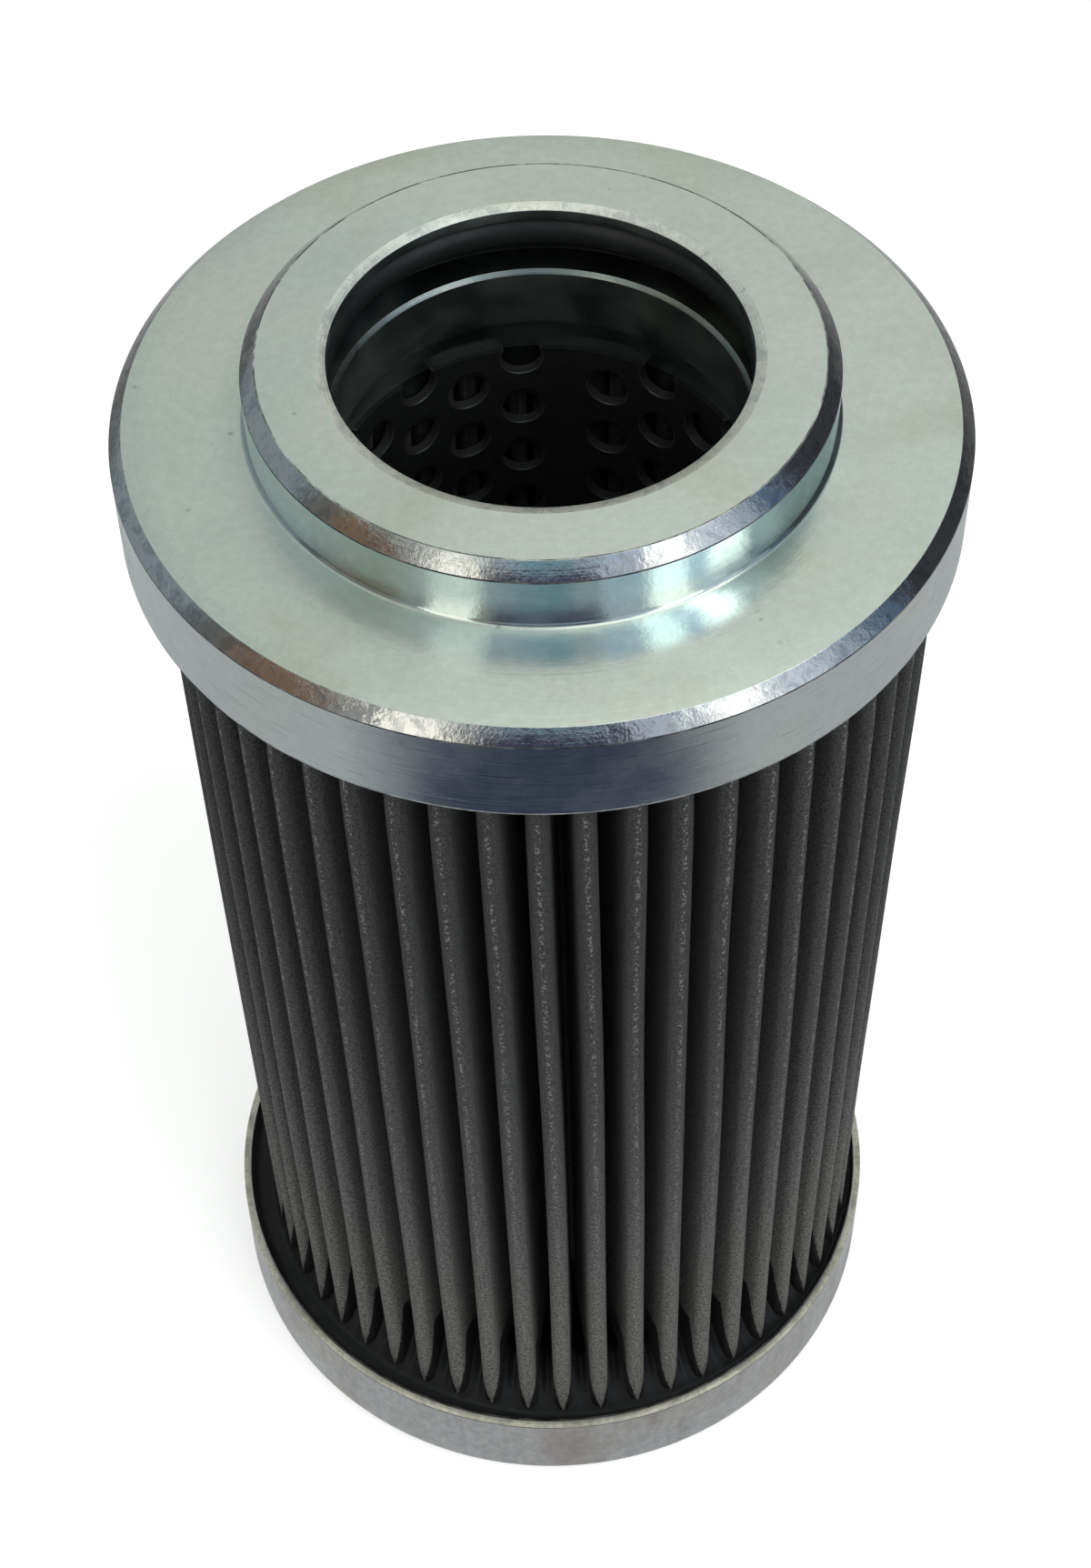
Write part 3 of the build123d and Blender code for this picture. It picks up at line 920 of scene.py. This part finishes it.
def make_floor():
    """White floor. It keeps the soft shadow, and the eye sees the rest of it as plain white."""
    f = Finish("floor_white")
    f.set(color=(0.82, 0.82, 0.82, 1.0), rough=1.0, specular=0.0)
    f.put(f.shader, "Emission Color", (1.0, 1.0, 1.0, 1.0))
    f.put(f.shader, "Emission Strength", f.math("MULTIPLY", seen_rays(f.tree), 0.36))
    sides = [(-1, -1), (1, -1), (1, 1), (-1, 1)]
    corners = [(FLOOR_HALF * x, FLOOR_HALF * y, FLOOR_HEIGHT) for x, y in sides]
    mesh = build_mesh("floor", corners, [np.array([[0, 1, 2, 3]])], [f.material])
    new_object("floor", mesh)


def make_world():
    """Pale light from all sides, which the eye and the metal see as plain white."""
    world = bpy.data.worlds.new("studio")
    bpy.context.scene.world = world
    world.use_nodes = True
    tree = world.node_tree
    light = tree.nodes["Background"]
    light.inputs["Color"].default_value = (0.97, 1.0, 0.97, 1.0)
    light.inputs["Strength"].default_value = 0.75
    white = tree.nodes.new("ShaderNodeBackground")
    white.inputs["Color"].default_value = (1.0, 1.0, 1.0, 1.0)
    choice = tree.nodes.new("ShaderNodeMixShader")
    tree.links.new(seen_rays(tree), choice.inputs[0])
    tree.links.new(light.outputs[0], choice.inputs[1])
    tree.links.new(white.outputs[0], choice.inputs[2])
    tree.links.new(choice.outputs[0], tree.nodes["World Output"].inputs["Surface"])


def make_lamp(name, azimuth, elevation, power):
    """Soft square lamp that looks at the object."""
    data = bpy.data.lights.new(name, "AREA")
    data.size = LAMP_WIDTH
    data.energy = power
    lamp = new_object(name, data)
    t, p = radians(azimuth), radians(elevation)
    way = Vector((cos(p) * sin(t), -cos(p) * cos(t), sin(p)))
    middle = Vector((0, 0, LAMP_AIM))
    turn = way.to_track_quat("Z", "Y").to_matrix().to_4x4()
    lamp.matrix_world = Matrix.Translation(middle + way * LAMP_REACH) @ turn
    lamp.visible_glossy = False


def make_camera():
    """Camera that looks down at the object from the front, with its small turn and tilt."""
    data = bpy.data.cameras.new("camera")
    data.lens = 67.99
    data.sensor_width = 36.0
    data.clip_start = 0.01
    camera = new_object("camera", data)
    elevation, yaw, roll = radians(51.2045), radians(-0.039), radians(0.847)
    turn = (Matrix.Rotation(-yaw, 4, "Z") @ Matrix.Rotation(pi / 2 - elevation, 4, "X")
            @ Matrix.Rotation(-roll, 4, "Z"))
    camera.matrix_world = Matrix.Translation((0.0, -0.19346, 0.32285)) @ turn
    bpy.context.scene.camera = camera


make_floor()
make_room()
make_table()
make_world()
make_lamp("lamp_left", -38, 42, 2.6)
make_lamp("lamp_right", 42, 42, 6.6)
make_camera()
bpy.context.scene.view_settings.view_transform = "Standard"
